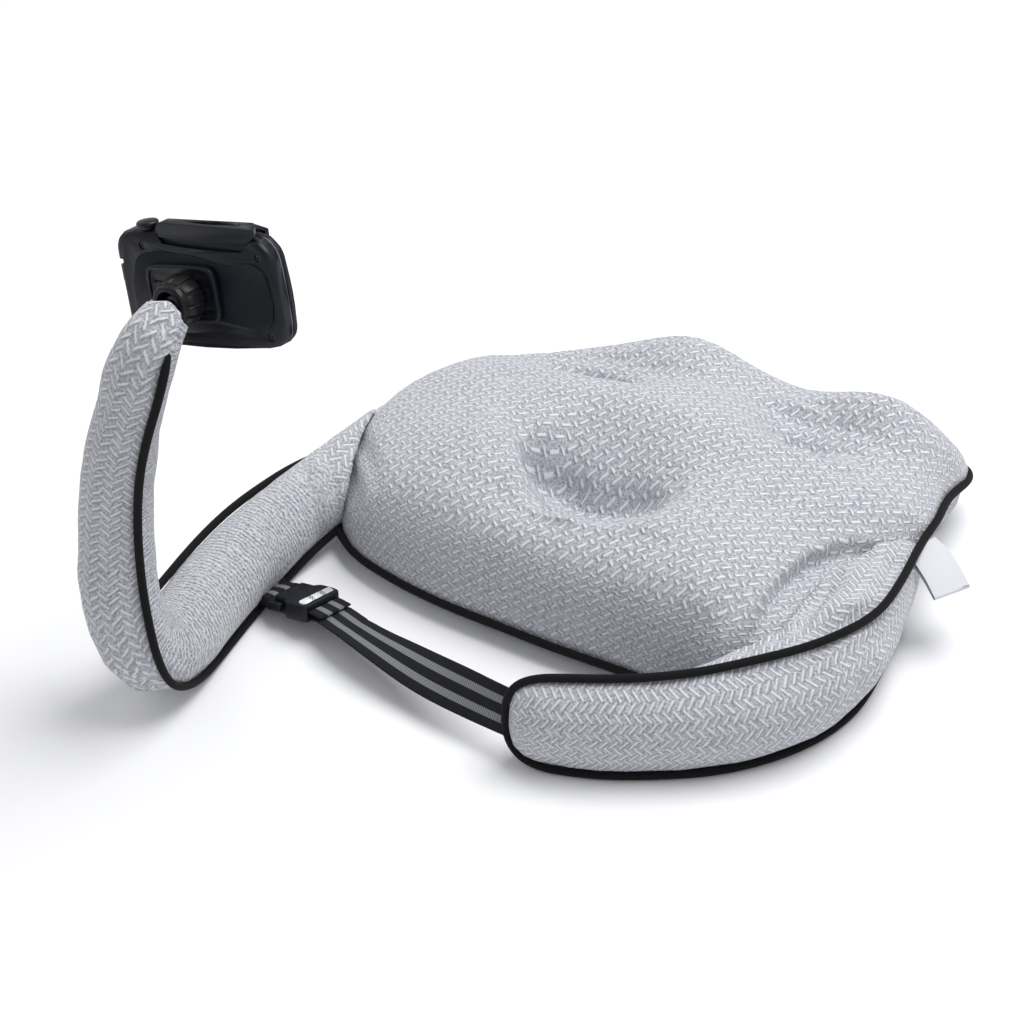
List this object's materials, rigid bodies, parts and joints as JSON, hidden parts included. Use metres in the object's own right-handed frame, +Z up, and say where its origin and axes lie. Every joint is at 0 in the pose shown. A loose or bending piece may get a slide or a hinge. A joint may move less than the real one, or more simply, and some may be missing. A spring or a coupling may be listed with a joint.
{
  "type": "back support cushion with phone holder",
  "caption": "Lying back cushion in knit cloth with a padded side arm, a belt with a side buckle, and a long padded arm that carries a phone holder on a ball joint.",
  "frame": {"origin": "on the surface that the cushion lies on, under the middle of the pad's back panel", "axes": "+Z up through the lying pad; +X along the pad's front seam, from the long arm to the short arm; +Y from the front seam to the pad's far edge"},
  "size_m": [0.4916, 0.5347, 0.368],
  "materials": {
    "knit": "light grey jacquard knit",
    "knit_fine": "light grey knit, finely ribbed on the inner side",
    "black_tape": "woven black tape over cord",
    "webbing": "ribbed black webbing with two grey stripes",
    "satin": "white satin ribbon",
    "buckle_nylon": "moulded, fine grain",
    "bright_bar": "bright",
    "holder_plastic": "satin, fine grain",
    "nut_plastic": "satin",
    "trim_plastic": "satin grey",
    "soft_rubber": "matt",
    "dark_steel": "blackened"
  },
  "bodies": {
    "cushion": {"pad": "knit", "short_arm": "knit", "long_arm": "knit_fine", "piping_outer": "black_tape", "piping_front": "black_tape", "piping_neck_lower": "black_tape", "piping_neck_upper": "black_tape", "belt": "webbing", "arm_strap": "webbing", "label": "satin", "buckle_socket": "buckle_nylon", "buckle_plug": "buckle_nylon", "buckle_bar": "bright_bar", "ball_stem": "dark_steel"},
    "ball": {"ball": "dark_steel"},
    "nut": {"clamp_nut": "nut_plastic"},
    "holder": {"mount_plate": "holder_plastic", "back_shell": "holder_plastic", "rim_trim": "trim_plastic", "front_shell": "holder_plastic", "phone_pad": "soft_rubber", "screw_1": "dark_steel", "screw_2": "dark_steel", "screw_3": "dark_steel", "screw_4": "dark_steel"},
    "jaw": {"jaw": "holder_plastic"},
    "knob": {"side_knob": "holder_plastic"}
  },
  "joints": [
    {"name": "ball_pan", "type": "hinge", "parent": "cushion", "child": "ball", "pos_m": [-0.177, -0.243, 0.313], "axis": [-0.2687, 0.1903, 0.9442], "range_deg": [-12, 12]},
    {"name": "ball_tilt", "type": "hinge", "parent": "ball", "child": "nut", "pos_m": [-0.177, -0.243, 0.313], "axis": [0.9632, 0.0469, 0.2646], "range_deg": [-5, 15]},
    {"name": "ball_spin", "type": "hinge", "parent": "nut", "child": "holder", "pos_m": [-0.177, -0.243, 0.313], "axis": [-0.006, -0.9806, 0.1959], "range_deg": [-90, 90]},
    {"name": "jaw_slide", "type": "slide", "parent": "holder", "child": "jaw", "axis": [-0.2687, 0.1903, 0.9442], "range_m": [0, 0.028], "stiffness_N_per_m": 80, "springref_m": -0.02},
    {"name": "knob_turn", "type": "hinge", "parent": "holder", "child": "knob", "pos_m": [-0.21756, -0.21908, 0.34112], "axis": [-0.2687, 0.1903, 0.9442], "range_deg": [-45, 45]}
  ]
}
